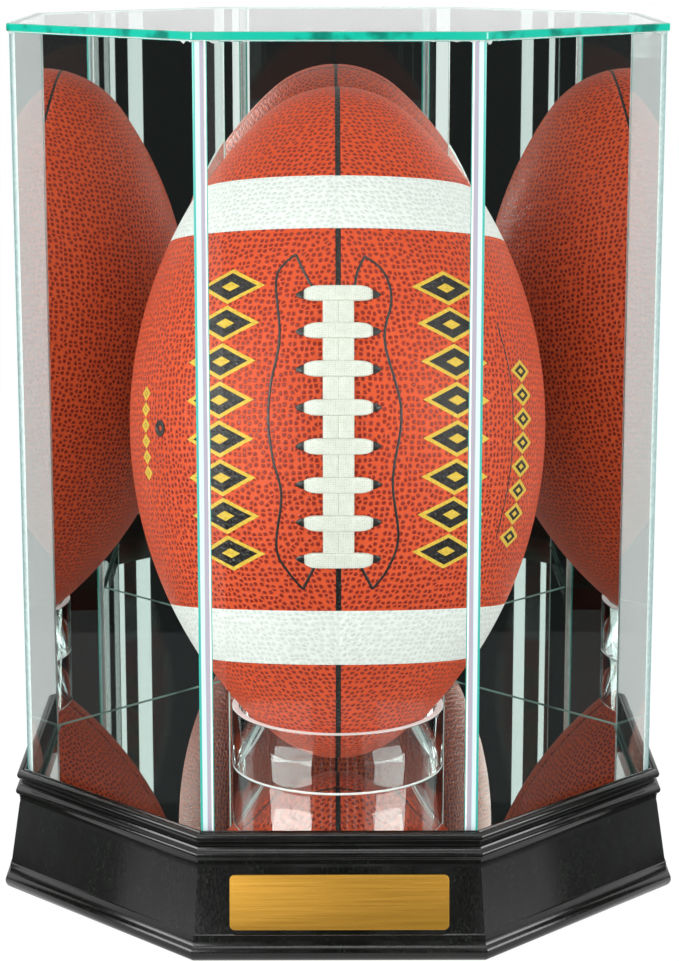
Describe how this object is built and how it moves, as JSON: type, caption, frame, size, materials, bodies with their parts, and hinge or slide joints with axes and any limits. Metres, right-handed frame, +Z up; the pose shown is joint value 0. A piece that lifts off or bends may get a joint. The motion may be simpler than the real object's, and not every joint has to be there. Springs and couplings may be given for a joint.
{
  "type": "football display case",
  "caption": "Octagonal glass case with mirror back panes and a lift-off hood on a moulded wood base, holding a football that stands on its nose in a clear ring",
  "frame": {"origin": "middle of the base's underside, on the table", "axes": "+Z is up, -Y is the front with the nameplate and the lacing, +X is the viewer's right"},
  "size_m": [0.2694, 0.2694, 0.345],
  "materials": {
    "stained_wood": "dark stained hardwood under satin lacquer",
    "board": "raw fibreboard",
    "steel": "plain zinc-plated steel",
    "mirror": "silvered float glass",
    "gold_plate": "satin gold-coloured metal",
    "tape": "foam mounting tape",
    "clear_plastic": "polished clear acrylic",
    "clear_glass": "float glass with green edges",
    "adhesive": "clear cured adhesive",
    "ball_leather": "pebble-grain leather in brick orange",
    "ball_rubber": "dark moulded rubber",
    "lace_cord": "off-white lace with a fine grain"
  },
  "bodies": {
    "base": {"base_rail_front": "stained_wood", "base_rail_front_right": "stained_wood", "base_rail_right": "stained_wood", "base_rail_back_right": "stained_wood", "base_rail_back": "stained_wood", "base_rail_back_left": "stained_wood", "base_rail_left": "stained_wood", "base_rail_front_left": "stained_wood", "v_nails": "steel", "floor_board": "board", "board_nails": "steel", "floor_mirror": "mirror", "nameplate": "gold_plate", "nameplate_tape": "tape", "ring_stand": "clear_plastic"},
    "hood": {"lid_glass": "clear_glass", "front_glass": "clear_glass", "front_right_glass": "clear_glass", "right_glass": "clear_glass", "back_right_mirror": "mirror", "back_mirror": "mirror", "back_left_mirror": "mirror", "left_glass": "clear_glass", "front_left_glass": "clear_glass", "corner_adhesive": "adhesive", "lid_adhesive": "adhesive"},
    "football": {"panel_front_left": "ball_leather", "panel_front_right": "ball_leather", "panel_back_right": "ball_leather", "panel_back_left": "ball_leather", "bladder": "ball_rubber", "lace": "lace_cord", "valve": "ball_rubber"}
  },
  "joints": [
    {"name": "hood_lift", "type": "slide", "parent": "base", "child": "hood", "axis": [0, 0, 1], "range_m": [0, 0.3]},
    {"name": "football_turn", "type": "hinge", "parent": "base", "child": "football", "pos_m": [0, 0.0169, 0.17753], "axis": [0, 0.2079, 0.9781], "continuous": true}
  ]
}
